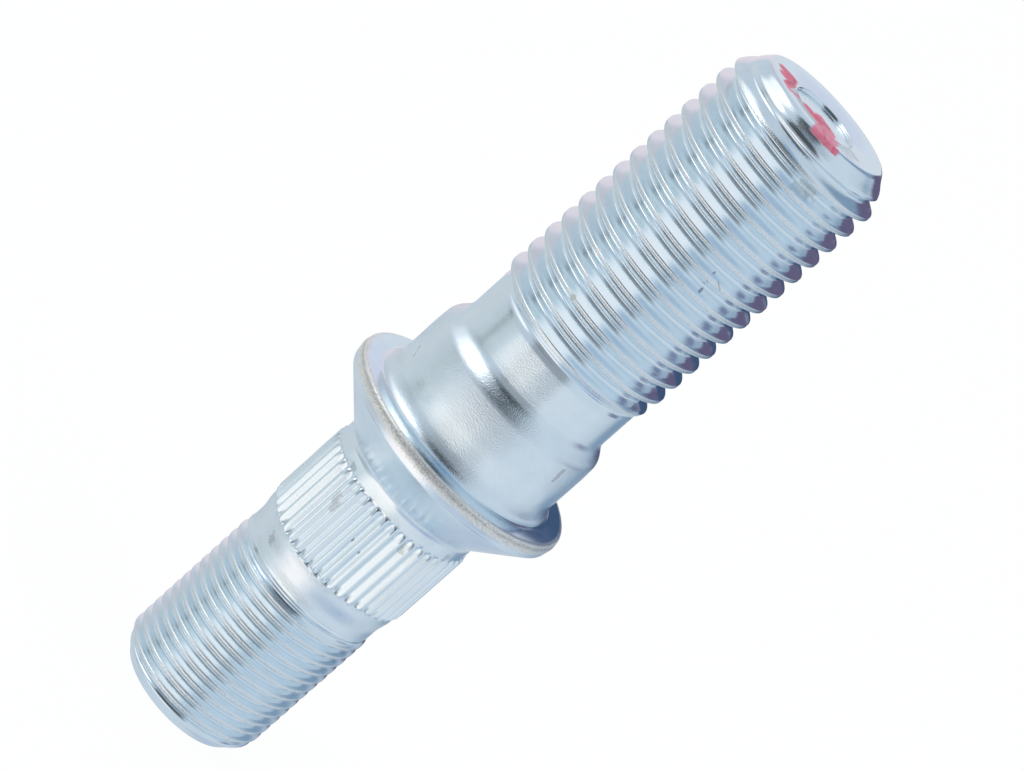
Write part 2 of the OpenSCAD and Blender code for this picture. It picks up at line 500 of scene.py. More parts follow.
@dataclass
class Shank:
    """The turned and forged middle: neck, bands, collar, spigot, shoulder and rolling neck.

    Args:
        neck_z: Height at which the fine thread ends.
        neck_d: Diameter of the neck above it.
        serration_low: Height at which the serrations begin.
        serration_high: Height at which they end.
        taper: Length over which the neck widens to the band.
        neck_band: Length of the plain band below the serrations.
        band_d: Diameter of both plain bands.
        band_h: Length of the plain band above the serrations.
        seat_angle: Angle of the collar's cone in degrees.
        seat_fillet: Radius between band and cone.
        rim_d: Diameter of the collar.
        rim_h: Thickness of its rim.
        rim_barrel: How far the rim falls in at its foot.
        rim_top_barrel: How far it falls in at its top.
        rim_foot: Radius between cone and rim.
        rim_edge: Radius between rim and face.
        collar_fillet: Width of the curve between face and spigot.
        fillet_h: Height of that curve.
        spigot_d: Diameter of the spigot.
        spigot_h: Height of the shoulder's first curve over the face.
        spigot_fall: Lean of the spigot at its end, in degrees.
        spigot_fall_h: Length over which it begins to lean.
        crease_r: Radius of the crease at its end.
        crease_angle: Lean after the crease, in degrees.
        face_fall: Fall of the domed face at its edge, in degrees.
        shoulder_angle: Steepest lean of the shoulder, in degrees.
        shoulder_r: Radius of both its curves.
        roll_d: Diameter of the rolling neck.
        seam: Width of the gap that joins two sections.
        columns: Number of points round the turn.
        bend_steps: Parts of an ordinary curve.
        long_steps: Parts of a long curve.
        fillet_steps: Parts of the curve between face and spigot.
        taper_steps: Parts of the neck's taper.
        line_steps: Parts of a short straight.
    """

    neck_z: float = 21.0 * MM
    neck_d: float = 18.36 * MM
    serration_low: float = 24.75 * MM
    serration_high: float = 35.35 * MM
    taper: float = 2.3 * MM
    neck_band: float = 0.45 * MM
    band_d: float = 19.0 * MM
    band_h: float = 1.8 * MM
    seat_angle: float = 45.0
    seat_fillet: float = 1.6 * MM
    rim_d: float = 30.24 * MM
    rim_h: float = 2.1 * MM
    rim_barrel: float = 0.14 * MM
    rim_top_barrel: float = 0.09 * MM
    rim_foot: float = 0.6 * MM
    rim_edge: float = 0.45 * MM
    collar_fillet: float = 1.2 * MM
    fillet_h: float = 2.1 * MM
    spigot_d: float = 23.26 * MM
    spigot_h: float = 7.9 * MM
    spigot_fall: float = 4.5
    spigot_fall_h: float = 2.6 * MM
    crease_r: float = 0.35 * MM
    crease_angle: float = 13.0
    face_fall: float = 7.0
    shoulder_angle: float = 38.0
    shoulder_r: float = 2.2 * MM
    roll_d: float = 20.48 * MM
    seam: float = 0.12 * MM
    columns: int = 168
    bend_steps: int = 6
    long_steps: int = 10
    fillet_steps: int = 14
    taper_steps: int = 8
    line_steps: int = 3

    def rim_z(self) -> float:
        """Height at which the cone meets the rim."""
        cone_w = self.rim_d / 2 - self.rim_barrel - self.band_d / 2
        return self.serration_high + self.band_h + cone_w / math.tan(math.radians(self.seat_angle))

    def collar_top(self) -> float:
        """Height of the collar's flat face."""
        return self.rim_z() + self.rim_h

    def neck(self) -> Section:
        """Turns the neck between the fine thread and the serrations."""
        low, high = self.neck_z + self.seam, self.serration_low - self.seam
        start = self.serration_low - self.neck_band - self.taper
        neck_r, band_r = self.neck_d / 2, self.band_d / 2
        outline = Outline().line(neck_r, low).line(neck_r, start, self.line_steps)
        for step in range(1, self.taper_steps + 1):
            share = step / self.taper_steps
            outline.line(neck_r + (band_r - neck_r) * ease(share), start + self.taper * share)
        outline.line(band_r, high)
        return revolve(outline, self.columns, low, high)

    def collar(self, high: float) -> Section:
        """Turns everything from the serrations up to the coarse thread.

        Args:
            high: Height at which the coarse thread begins.

        Returns:
            The turned skin.
        """
        low, high = self.serration_high + self.seam, high - self.seam
        band_r, spigot_r, roll_r = self.band_d / 2, self.spigot_d / 2, self.roll_d / 2
        rim_z, top = self.rim_z(), self.collar_top()
        foot_r = self.rim_d / 2 - self.rim_barrel - self.rim_foot
        seat = math.radians(self.seat_angle)
        lean = math.tan(seat / 2)
        foot_z = rim_z + self.rim_foot * lean
        outline = Outline().line(band_r, low)
        outline.arc((band_r + self.seat_fillet, low + self.band_h - self.seam - self.seat_fillet * lean),
                    self.seat_fillet, 180, 180 - self.seat_angle, self.bend_steps)
        outline.line(foot_r + self.rim_foot * math.cos(seat), foot_z - self.rim_foot * math.sin(seat),
                     self.bend_steps)
        outline.arc((foot_r, foot_z), self.rim_foot, -self.seat_angle, 0, self.bend_steps - 1)
        outline.line(self.rim_d / 2, rim_z + self.rim_h / 2, self.line_steps)
        corner_r = spigot_r + self.collar_fillet
        edge_r = self.rim_d / 2 - self.rim_top_barrel - self.rim_edge
        fall = math.radians(self.face_fall)
        face_r = (edge_r + self.rim_edge * math.sin(fall) - corner_r) / math.sin(fall)
        edge_z = top - face_r * (1 - math.cos(fall)) - self.rim_edge * math.cos(fall)
        outline.line(edge_r + self.rim_edge, edge_z, self.line_steps)
        outline.arc((edge_r, edge_z), self.rim_edge, 0, 90 - self.face_fall, self.bend_steps)
        outline.arc((corner_r, top - face_r), face_r, 90 - self.face_fall, 90, self.bend_steps)
        for step in range(1, self.fillet_steps + 1):
            angle = math.radians(90) * step / self.fillet_steps
            outline.line(corner_r - self.collar_fillet * math.sin(angle),
                         top + self.fillet_h * (1 - math.cos(angle)))
        self.shoulder(outline)
        outline.line(roll_r, high, self.bend_steps - 1)
        return revolve(outline, self.columns, low, high)

    def shoulder(self, outline: Outline) -> None:
        """Draws the spigot, which falls off gently towards its end, and the curved shoulder above it.

        Args:
            outline: The outline, which ends at the foot of the spigot.
        """
        spigot_r, roll_r, curve = self.spigot_d / 2, self.roll_d / 2, self.shoulder_r
        angle = math.radians(self.shoulder_angle)
        drop = curve * (1 - math.cos(angle))
        shoulder_z = self.collar_top() + self.spigot_h
        roll_z = shoulder_z + 2 * curve * math.sin(angle) + (spigot_r - roll_r - 2 * drop) / math.tan(angle)
        gentle = self.spigot_fall_h / math.sin(math.radians(self.spigot_fall))
        bends = ((gentle, 0.0, self.spigot_fall), (self.crease_r, self.spigot_fall, self.crease_angle),
                 (curve, self.crease_angle, self.shoulder_angle))
        chords = [self.chord(*bend) for bend in bends]
        end_r = spigot_r + sum(chord.x for chord in chords)
        end_z = shoulder_z + curve * math.sin(angle) + (spigot_r - drop - end_r) / math.tan(angle)
        here = Vector((spigot_r, end_z - sum(chord.y for chord in chords)))
        outline.line(here.x, here.y, self.bend_steps + 1)
        for (radius, low, high), chord in zip(bends, chords):
            lean = math.radians(low)
            centre = (here.x - radius * math.cos(lean), here.y - radius * math.sin(lean))
            outline.arc(centre, radius, low, high, self.bend_steps)
            here += chord
        outline.arc((roll_r + curve, roll_z), curve, 180 + self.shoulder_angle, 180, self.long_steps)

    @staticmethod
    def chord(radius: float, low: float, high: float) -> Vector:
        """Way from the first to the last point of an arc, as radius and height; the angles are in degrees."""
        first, last = math.radians(low), math.radians(high)
        return radius * Vector((math.cos(last) - math.cos(first), math.sin(last) - math.sin(first)))


@dataclass(frozen=True)
class Dish:
    """The shallow dish pressed into the coarse end.

    Args:
        width: Diameter of its mouth.
        floor_d: Diameter of its floor.
        depth: How deep it is.
        offset: Distance of its centre from the axis, towards the front.
        steps: Parts of its wall and of its floor.
    """

    width: float = 8.4 * MM
    floor_d: float = 8.0 * MM
    depth: float = 0.35 * MM
    offset: float = 1.8 * MM
    steps: int = 8

    def section(self, face_z: float, columns: int) -> Section:
        """Turns the dish about its own axis.

        Args:
            face_z: Height of the face that it lies in.
            columns: Number of points round the turn.

        Returns:
            The dish, open at its mouth.
        """
        outline = Outline().line(self.width / 2, face_z)
        for step in range(1, self.steps + 1):
            share = step / self.steps
            outline.line((self.width - (self.width - self.floor_d) * share) / 2,
                         face_z - self.depth * ease(share))
        outline.line(0.0, face_z - self.depth, self.steps)
        made = revolve(outline, columns, face_z, None)
        bmesh.ops.translate(made.mesh, verts=made.mesh.verts[:], vec=(0.0, -self.offset, 0.0))
        return made


@dataclass
class EndFace:
    """A flat end with a rounded edge, and a shallow dish where it has one.

    Args:
        face_z: Height of the face.
        chamfer: The chamfer round it.
        side: Which way the face looks.
        ring_h: Distance of the open ring from the face, over which the edge is rounded.
        dish: The dish, or None.
        columns: Number of points round the turn.
        edge_steps: Parts of the rounded edge.
        face_steps: Parts of a plain face.
    """

    face_z: float
    chamfer: Chamfer
    side: End
    ring_h: float
    dish: Dish | None = None
    columns: int = 120
    edge_steps: int = 8
    face_steps: int = 6

    def section(self) -> Section:
        """Turns the end from its ring to the axis.

        Returns:
            The closed end.
        """
        sign = self.side.value
        ring_r, ring_z = self.chamfer.radius(self.ring_h), self.face_z - sign * self.ring_h
        lean = math.atan2(ring_r - self.chamfer.radius(0.0), self.ring_h)
        edge = self.ring_h / (1 - math.sin(lean))
        outline = Outline().line(ring_r, ring_z)
        centre = (ring_r - edge * math.cos(lean), self.face_z - sign * edge)
        outline.arc(centre, edge, sign * math.degrees(lean), sign * 90, self.edge_steps)
        low, high = (None, ring_z) if self.side is End.BOTTOM else (ring_z, None)
        if self.dish is None:
            outline.line(0.0, self.face_z, self.face_steps)
            return revolve(outline, self.columns, low, high)
        made = revolve(outline, self.columns, low, high)
        dish = self.dish.section(self.face_z, self.columns)
        carrier = bpy.data.meshes.new("dish")
        dish.mesh.to_mesh(carrier)
        dish.mesh.free()
        made.mesh.from_mesh(carrier)
        bpy.data.meshes.remove(carrier)
        bmesh.ops.bridge_loops(made.mesh, edges=open_ring(made.mesh, self.face_z))
        return made


def open_ring(mesh: bmesh.types.BMesh, height: float) -> list[bmesh.types.BMEdge]:
    """Finds the open ring at a height.

    Args:
        mesh: The skin.
        height: The ring's height.

    Returns:
        The ring's edges.
    """
    return [edge for edge in mesh.edges
            if edge.is_boundary and all(abs(vert.co.z - height) < WELD for vert in edge.verts)]


@dataclass(frozen=True)
class ZincPlating:
    """Bright blue-white zinc on forged and rolled steel.

    Args:
        colour: Its mirror colour.
        roughness: Its roughness away from the crests.
        grain: Size of the forged grain under it.
        dust_share: Size of the finer grain on crests and rim, as a share of the grain.
        cloud_size: Size of the patches in which colour and roughness change.
        cloud_tint: Brightness of the darkest patch.
        cloud_roughness: How far the roughness changes from patch to patch.
        crest_colour: Colour of the burnished thread crests.
        crest_cover: How strongly it shows.
        crest_roughness: Roughness that the crests add.
        speck_colour: Colour of the dirt in their pits.
        speck_cover: How strongly it shows.
        worn_colour: Colour of the scuffed rim.
        worn_cover: How strongly it shows.
        worn_line_colour: Colour of the dirt on it.
        worn_grit: How strongly the scattered dirt shows.
        worn_roughness: Roughness that the scuffing adds.
        mark_roughness: Roughness that marks and paint add.
        paint_matte: How far the paint hides the metal.
        relief: Strength of the finer grain on crests and of the pits on the rim.
        bump: Height of the relief.
    """

    colour: Colour = (0.80, 0.89, 0.95)
    roughness: float = 0.12
    grain: float = 0.38 * MM
    dust_share: float = 0.8
    cloud_size: float = 2.4 * MM
    cloud_tint: float = 0.96
    cloud_roughness: tuple[float, float] = (-0.02, 0.03)
    crest_colour: Colour = (0.80, 0.84, 0.85)
    crest_cover: float = 0.7
    crest_roughness: float = 0.1
    speck_colour: Colour = (0.24, 0.20, 0.17)
    speck_cover: float = 0.35
    worn_colour: Colour = (0.98, 0.96, 0.92)
    worn_cover: float = 0.9
    worn_line_colour: Colour = (0.42, 0.39, 0.35)
    worn_grit: float = 0.5
    worn_roughness: float = 0.36
    mark_roughness: float = 0.3
    paint_matte: float = 0.85
    relief: float = 0.8
    bump: float = 0.044 * MM


@dataclass(frozen=True)
class Mark:
    """A stroke, smudge or scratch on the plating.

    Args:
        start: Its first point in millimetres: distance round the bolt from the front and height, or x and y.
        end: Its last point.
        width: Half its width in millimetres.
        colour: Its colour.
        strength: How strongly it covers the plating.
        ragged: How far its edge wanders, in millimetres.
    """

    start: Point
    end: Point
    width: float
    colour: Colour
    strength: float = 0.6
    ragged: float = 0.3


ROUND_R = 10.0
END_BAND = (0.6 * MM, 0.5 * MM)
CLOUD_BAND = (0.3, 0.7)
CLOUD_DETAIL = 3.0
PIT_BAND = (0.56, 0.66)
GRIT_BAND = (0.52, 0.60)
LINE_BAND = (0.46, 0.56)
GRAIN_LAYERS = ((2.0, 0.85), (1.0, 0.15))
GRAIN_PATCHES = 2.7
GRAIN_ROUGH = 0.6
JITTER_SIZE = 0.7
JITTER_DETAIL = 3.0
JITTER_ROUGH = 0.65
JITTER_GAIN = 4.0
SOFT_SHARE = 0.3
SOFT_LEAST = 0.04
MASK_BAND = (-0.7, 0.7)
BROWN: Colour = (0.30, 0.24, 0.19)
OLIVE: Colour = (0.36, 0.36, 0.27)
GREY: Colour = (0.26, 0.29, 0.33)
DARK: Colour = (0.10, 0.12, 0.14)
PALE: Colour = (0.95, 0.96, 0.96)
RED: Colour = (1.0, 0.12, 0.22)
PINK: Colour = (1.0, 0.22, 0.33)
DEEP_RED: Colour = (0.62, 0.06, 0.14)

SIDE_MARKS = (
    Mark((4.3, 30.9), (4.8, 32.6), 0.36, BROWN, 0.25, 0.45),
    Mark((-4.8, 33.5), (-4.6, 34.2), 0.3, OLIVE, 0.3),
    Mark((-10.4, 32.3), (-10.4, 33.1), 0.22, GREY, 0.45),
    Mark((-0.1, 30.6), (-0.1, 30.8), 0.12, DARK, 0.6, 0.1),
    Mark((-1.6, 30.1), (-1.6, 30.2), 0.12, DARK, 0.5, 0.1),
    Mark((6.4, 22.7), (7.0, 23.4), 0.35, GREY, 0.35, 0.6),
    Mark((6.2, 35.5), (6.6, 35.7), 0.3, GREY, 0.35, 0.4),
    Mark((-10.5, 35.5), (-10.3, 35.7), 0.3, GREY, 0.35, 0.4),
    Mark((-9.6, 51.2), (-9.6, 52.5), 0.28, (0.42, 0.40, 0.38), 0.5, 0.25),
    Mark((11.1, 47.9), (11.9, 48.7), 0.1, PALE, 0.8, 0.15),
    Mark((10.7, 48.3), (11.5, 49.4), 0.08, GREY, 0.4, 0.15),
    Mark((5.1, 72.0), (5.2, 72.3), 0.32, PALE, 0.95, 0.25),
    Mark((3.2, 67.1), (3.4, 67.3), 0.24, (0.55, 0.57, 0.48), 0.6, 0.2),
    Mark((-4.8, 77.5), (-5.1, 77.8), 0.1, DARK, 0.6, 0.1),
    Mark((-4.3, 80.0), (-4.5, 80.1), 0.09, DARK, 0.55, 0.1),
    Mark((-5.9, 79.2), (-5.2, 79.7), 0.06, GREY, 0.5, 0.1),
    Mark((-6.2, 79.4), (-5.5, 79.9), 0.06, PALE, 0.5, 0.1),
    Mark((11.7, 78.7), (11.8, 78.9), 0.15, DARK, 0.5, 0.2),
    Mark((-3.6, 93.4), (-5.6, 93.2), 0.5, OLIVE, 0.3, 0.7),
    Mark((1.4, 97.1), (0.7, 97.4), 0.2, BROWN, 0.6, 0.5),
)
END_MARKS = (
    Mark((-6.5, -1.0), (-5.4, -0.9), 0.85, RED, 0.94, 0.06),
    Mark((-6.0, -2.6), (-5.3, -1.8), 0.85, RED, 0.94, 0.06),
    Mark((-5.2, -4.6), (-4.9, -2.8), 0.6, RED, 0.92, 0.1),
    Mark((-5.3, -4.0), (-5.0, -2.6), 0.24, DEEP_RED, 0.75, 0.35),
    Mark((-5.0, -1.9), (-4.9, -0.9), 0.16, DEEP_RED, 0.65, 0.3),
    Mark((-4.7, -5.4), (-3.2, -4.5), 0.45, PINK, 0.8, 0.15),
    Mark((-3.2, -4.4), (-1.6, -3.6), 0.6, RED, 0.9, 0.2),
    Mark((-1.8, -3.5), (-0.3, -3.9), 0.95, RED, 0.92, 0.2),
    Mark((-0.6, -5.2), (-0.2, -2.2), 0.8, RED, 0.92, 0.2),
    Mark((0.5, -8.2), (0.7, -2.5), 0.8, PINK, 0.9, 0.2),
    Mark((1.6, -9.4), (1.5, -3.0), 0.75, PINK, 0.9, 0.2),
    Mark((2.6, -9.4), (2.3, -5.4), 0.65, PINK, 0.86, 0.25),
    Mark((3.4, -9.0), (3.2, -7.6), 0.4, RED, 0.8, 0.3),
    Mark((-0.4, -3.3), (1.0, -2.3), 0.4, DEEP_RED, 0.6, 0.4),
    Mark((0.0, -3.8), (1.5, -8.0), 0.16, DEEP_RED, 0.5, 0.3),
    Mark((4.6, -3.4), (5.3, -3.9), 0.3, (0.75, 0.52, 0.62), 0.4, 0.4),
)


class Graph:
    """Adds nodes to a tree and joins them."""

    def __init__(self, tree: bpy.types.NodeTree) -> None:
        """Starts on a tree.

        Args:
            tree: The node tree to fill.
        """
        self.tree = tree

    def add(self, kind: str, **settings: object) -> bpy.types.Node:
        """Adds a node.

        Args:
            kind: The node's type.
            settings: Its properties.

        Returns:
            The node.
        """
        node = self.tree.nodes.new(kind)
        for name, value in settings.items():
            setattr(node, name, value)
        return node

    def feed(self, socket: Socket, value: object) -> None:
        """Links an output to a socket, or sets a plain value on it.

        Args:
            socket: The input.
            value: An output socket or a value.
        """
        if isinstance(value, bpy.types.NodeSocket):
            self.tree.links.new(value, socket)
        elif isinstance(value, tuple) and len(value) == 3 and socket.type == "RGBA":
            socket.default_value = (*value, 1.0)
        else:
            socket.default_value = value

    def math(self, operation: str, *values: object, clamp: bool = False) -> Socket:
        """Adds a Math node.

        Args:
            operation: The node's operation.
            values: Its inputs.
            clamp: Whether the result is held between 0 and 1.

        Returns:
            The result.
        """
        node = self.add("ShaderNodeMath", operation=operation, use_clamp=clamp)
        for socket, value in zip(node.inputs, values):
            self.feed(socket, value)
        return node.outputs[0]

    def vector(self, operation: str, *values: object) -> Socket:
        """Adds a Vector Math node.

        Args:
            operation: The node's operation.
            values: Its inputs.

        Returns:
            The result, a value where the operation gives one.
        """
        node = self.add("ShaderNodeVectorMath", operation=operation)
        for socket, value in zip(node.inputs, values):
            self.feed(socket, value)
        return node.outputs["Value" if operation in ("DOT_PRODUCT", "LENGTH") else "Vector"]

    def blend(self, share: object, first: object, second: object, mode: str = "MIX") -> Socket:
        """Mixes two colours.

        Args:
            share: Share of the second.
            first: First colour.
            second: Second colour.
            mode: The mix node's blend type.

        Returns:
            The colour.
        """
        node = self.add("ShaderNodeMix", data_type="RGBA", blend_type=mode)
        self.feed(node.inputs["Factor"], share)
        self.feed(node.inputs[6], first)
        self.feed(node.inputs[7], second)
        return node.outputs[2]

    def times(self, first: object, second: object) -> Socket:
        """Product of two values."""
        return self.math("MULTIPLY", first, second)

    def plus(self, first: object, second: object) -> Socket:
        """Sum of two values."""
        return self.math("ADD", first, second)

    def minus(self, first: object, second: object) -> Socket:
        """First value less the second."""
        return self.math("SUBTRACT", first, second)

    def spread(self, value: object, low: float, high: float,
               to_low: float = 0.0, to_high: float = 1.0) -> Socket:
        """Maps a range of values smoothly onto another.

        Args:
            value: The input.
            low: Where the input range starts.
            high: Where it ends.
            to_low: Result at low.
            to_high: Result at high.

        Returns:
            The mapped value.
        """
        node = self.add("ShaderNodeMapRange", interpolation_type="SMOOTHSTEP")
        for name, given in (("Value", value), ("From Min", low), ("From Max", high),
                            ("To Min", to_low), ("To Max", to_high)):
            self.feed(node.inputs[name], given)
        return node.outputs[0]

    def cloud(self, place: Socket, size: float, detail: float = 2.0, rough: float = 0.5) -> Socket:
        """Adds a noise pattern.

        Args:
            place: Coordinates.
            size: Size of one patch, in metres.
            detail: Number of finer layers.
            rough: Strength of the finer layers.

        Returns:
            The noise, from 0 to 1.
        """
        node = self.add("ShaderNodeTexNoise", noise_dimensions="3D")
        self.feed(node.inputs["Vector"], place)
        self.feed(node.inputs["Scale"], 1 / size)
        self.feed(node.inputs["Detail"], detail)
        self.feed(node.inputs["Roughness"], rough)
        return node.outputs["Fac"]

    def finish(self, kind: str, shader: bpy.types.Node) -> None:
        """Joins a shader to a new output node.

        Args:
            kind: Type of the output node.
            shader: The shader's node.
        """
        self.feed(self.add(kind).inputs["Surface"], shader.outputs[0])


def empty_material(name: str) -> tuple[bpy.types.Material, Graph]:
    """Makes a material without nodes.

    Args:
        name: Its name.

    Returns:
        The material and the graph that fills it.
    """
    material = bpy.data.materials.new(name)
    material.use_nodes = True
    material.node_tree.nodes.clear()
    return material, Graph(material.node_tree)


def empty_group(name: str, vectors: Names, values: Names, results: Names) -> Graph:
    """Makes a node group with its sockets.

    Args:
        name: Its name.
        vectors: Names of its vector inputs.
        values: Names of its value inputs.
        results: Names of its outputs, all values.

    Returns:
        The graph that fills it.
    """
    tree = bpy.data.node_groups.new(name, "ShaderNodeTree")
    for names, side, kind in ((vectors, "INPUT", "Vector"), (values, "INPUT", "Float"),
                              (results, "OUTPUT", "Float")):
        for socket in names:
            tree.interface.new_socket(socket, in_out=side, socket_type="NodeSocket" + kind)
    return Graph(tree)


def put_in_scene(name: str, data: bpy.types.ID | None) -> bpy.types.Object:
    """Makes an object and links it to the scene.

    Args:
        name: Its name.
        data: Its mesh, light or camera.

    Returns:
        The object.
    """
    made = bpy.data.objects.new(name, data)
    bpy.context.scene.collection.objects.link(made)
    return made


def sheet(name: str, size: float, material: bpy.types.Material) -> bpy.types.Object:
    """Makes a square sheet and puts it in the scene.

    Args:
        name: Its name.
        size: Length of its sides.
        material: Its material.

    Returns:
        The sheet.
    """
    mesh = bmesh.new()
    bmesh.ops.create_grid(mesh, x_segments=1, y_segments=1, size=size / 2)
    data = bpy.data.meshes.new(name)
    mesh.to_mesh(data)
    mesh.free()
    data.materials.append(material)
    return put_in_scene(name, data)


def mark_mask() -> bpy.types.NodeTree:
    """Makes the node group that tells how far a point lies within a stroke.

    Returns:
        The group: place, start, end, half width and ragged edge in millimetres as inputs, the mask as output.
    """
    graph = empty_group("mark_mask", ("Place", "Start", "End"), ("Half width", "Ragged"), ("Mask",))
    given = graph.add("NodeGroupInput").outputs
    way = graph.vector("SUBTRACT", given["End"], given["Start"])
    off = graph.vector("SUBTRACT", given["Place"], given["Start"])
    share = graph.math("DIVIDE", graph.vector("DOT_PRODUCT", off, way),
                       graph.vector("DOT_PRODUCT", way, way), clamp=True)
    nearest = graph.add("ShaderNodeVectorMath", operation="SCALE")
    graph.feed(nearest.inputs[0], way)
    graph.feed(nearest.inputs["Scale"], share)
    distance = graph.vector("LENGTH", graph.vector("SUBTRACT", off, nearest.outputs[0]))
    stray = graph.minus(graph.cloud(given["Place"], JITTER_SIZE, JITTER_DETAIL, JITTER_ROUGH), 0.5)
    jitter = graph.times(stray, graph.times(given["Ragged"], JITTER_GAIN))
    depth = graph.minus(given["Half width"], graph.plus(distance, jitter))
    soft = graph.plus(graph.times(given["Half width"], SOFT_SHARE), SOFT_LEAST)
    mask = graph.spread(graph.math("DIVIDE", depth, soft), *MASK_BAND)
    graph.feed(graph.add("NodeGroupOutput").inputs["Mask"], mask)
    return graph.tree


def speckle() -> bpy.types.NodeTree:
    """Makes the node group for the fine relief of the plating.

    Returns:
        The group: place and size of the grain as inputs, height and pits from 0 to 1 as outputs.
    """
    graph = empty_group("speckle", ("Place",), ("Size",), ("Height", "Pits"))
    given = graph.add("NodeGroupInput").outputs
    scale = graph.math("DIVIDE", GRAIN_PATCHES, given["Size"])
    layers = []
    for detail, weight in GRAIN_LAYERS:
        layer = graph.cloud(given["Place"], 1.0, detail, GRAIN_ROUGH)
        graph.feed(layer.node.inputs["Scale"], scale)
        layers.append(graph.times(layer, weight))
    height = graph.plus(*layers)
    out = graph.add("NodeGroupOutput")
    graph.feed(out.inputs["Height"], height)
    graph.feed(out.inputs["Pits"], graph.spread(height, *PIT_BAND))
    return graph.tree


class ZincMaterial:
    """The plated steel with its grain, wear, marks and paint."""

    def __init__(self, finish: ZincPlating, top_z: float) -> None:
        """Starts an empty material.

        Args:
            finish: The plating's values.
            top_z: Height of the painted end face.
        """
        self.finish = finish
        self.top_z = top_z
        self.material, self.graph = empty_material("zinc_plated_steel")
        self.place = self.graph.add("ShaderNodeTexCoord").outputs["Object"]
        self.marker = mark_mask()
        self.relief = speckle()

    def attribute(self, name: str) -> Socket:
        """Value that the mesh carries under a name."""
        return self.graph.add("ShaderNodeAttribute", attribute_name=name).outputs["Fac"]

    def speckled(self, size: float) -> tuple[Socket, Socket]:
        """Adds the fine relief at one size.

        Args:
            size: Size of its grain.

        Returns:
            Its height and its pits.
        """
        node = self.graph.add("ShaderNodeGroup", node_tree=self.relief)
        self.graph.feed(node.inputs["Place"], self.place)
        self.graph.feed(node.inputs["Size"], size)
        return node.outputs["Height"], node.outputs["Pits"]

    def flat_places(self) -> tuple[Socket, Socket, Socket]:
        """Rolls the side of the bolt out flat.

        Returns:
            Place on the side and on the end in millimetres, and how far a point lies on the end.
        """
        graph = self.graph
        parts = graph.add("ShaderNodeSeparateXYZ")
        graph.feed(parts.inputs[0], self.place)
        x, y, z = parts.outputs
        turn = graph.math("ARCTAN2", graph.times(x, -1.0), graph.times(y, -1.0))
        places = []
        for across, along in ((graph.times(turn, ROUND_R), graph.math("DIVIDE", z, MM)),
                              (graph.math("DIVIDE", x, MM), graph.math("DIVIDE", y, MM))):
            flat = graph.add("ShaderNodeCombineXYZ")
            graph.feed(flat.inputs["X"], across)
            graph.feed(flat.inputs["Y"], along)
            places.append(flat.outputs[0])
        on_end = graph.spread(z, *(self.top_z - below for below in END_BAND))
        return places[0], places[1], on_end

    def marked(self, colour: Socket, place: Socket, marks: tuple[Mark, ...],
               within: object) -> tuple[Socket, Socket]:
        """Lays marks over a colour.

        Args:
            colour: The colour below.
            place: Flat place in millimetres.
            marks: The marks, in order.
            within: Share by which they are let through.

        Returns:
            The new colour and how far the marks cover it.
        """
        graph = self.graph
        cover: object = 0.0
        for mark in marks:
            node = graph.add("ShaderNodeGroup", node_tree=self.marker)
            for name, value in (("Place", place), ("Start", (*mark.start, 0.0)), ("End", (*mark.end, 0.0)),
                                ("Half width", mark.width), ("Ragged", mark.ragged)):
                graph.feed(node.inputs[name], value)
            share = graph.times(node.outputs["Mask"], graph.times(within, mark.strength))
            colour = graph.blend(share, colour, mark.colour)
            cover = graph.math("MAXIMUM", cover, share)
        return colour, cover

    def build(self) -> bpy.types.Material:
        """Joins the layers into the material.

        Returns:
            The material.
        """
        graph, finish = self.graph, self.finish
        crest, grainy, worn = self.attribute("crest"), self.attribute("grainy"), self.attribute("worn")
        grain, pits = self.speckled(finish.grain)
        dust, dust_pits = self.speckled(finish.grain * finish.dust_share)
        cloudy = graph.cloud(self.place, finish.cloud_size, CLOUD_DETAIL, GRAIN_ROUGH)
        tint = graph.spread(cloudy, *CLOUD_BAND, finish.cloud_tint, 1.0)
        colour = graph.blend(1.0, finish.colour, tint, "MULTIPLY")
        colour = graph.blend(graph.times(crest, finish.crest_cover), colour, finish.crest_colour)
        specks = graph.times(crest, graph.times(dust_pits, finish.speck_cover))
        colour = graph.blend(specks, colour, finish.speck_colour)
        colour = graph.blend(graph.times(worn, finish.worn_cover), colour, finish.worn_colour)
        line = graph.times(self.attribute("worn_line"), graph.spread(dust, *LINE_BAND))
        grit = graph.math("MAXIMUM", graph.spread(grain, *GRIT_BAND, 0.0, finish.worn_grit), line)
        colour = graph.blend(graph.times(worn, grit), colour, finish.worn_line_colour)
        side, end, on_end = self.flat_places()
        colour, smudged = self.marked(colour, side, SIDE_MARKS, graph.minus(1.0, on_end))
        colour, painted = self.marked(colour, end, END_MARKS, on_end)
        limits = [finish.roughness + more for more in finish.cloud_roughness]
        rough = graph.spread(cloudy, *CLOUD_BAND, *limits)
        rough = graph.plus(rough, graph.times(crest, finish.crest_roughness))
        rough = graph.plus(rough, graph.times(worn, finish.worn_roughness))
        covered = graph.math("MAXIMUM", smudged, painted)
        rough = graph.plus(rough, graph.times(covered, finish.mark_roughness))
        relief = graph.times(grain, grainy)
        relief = graph.plus(relief, graph.times(dust, graph.times(crest, finish.relief)))
        relief = graph.minus(relief, graph.times(worn, graph.times(pits, finish.relief)))
        bump = graph.add("ShaderNodeBump")
        graph.feed(bump.inputs["Height"], relief)
        graph.feed(bump.inputs["Strength"], 1.0)
        graph.feed(bump.inputs["Distance"], finish.bump)
        shader = graph.add("ShaderNodeBsdfPrincipled")
        graph.feed(shader.inputs["Base Color"], colour)
        graph.feed(shader.inputs["Metallic"], graph.minus(1.0, graph.times(painted, finish.paint_matte)))
        graph.feed(shader.inputs["Roughness"], rough)
        graph.feed(shader.inputs["Normal"], bump.outputs["Normal"])
        graph.finish("ShaderNodeOutputMaterial", shader)
        return self.material


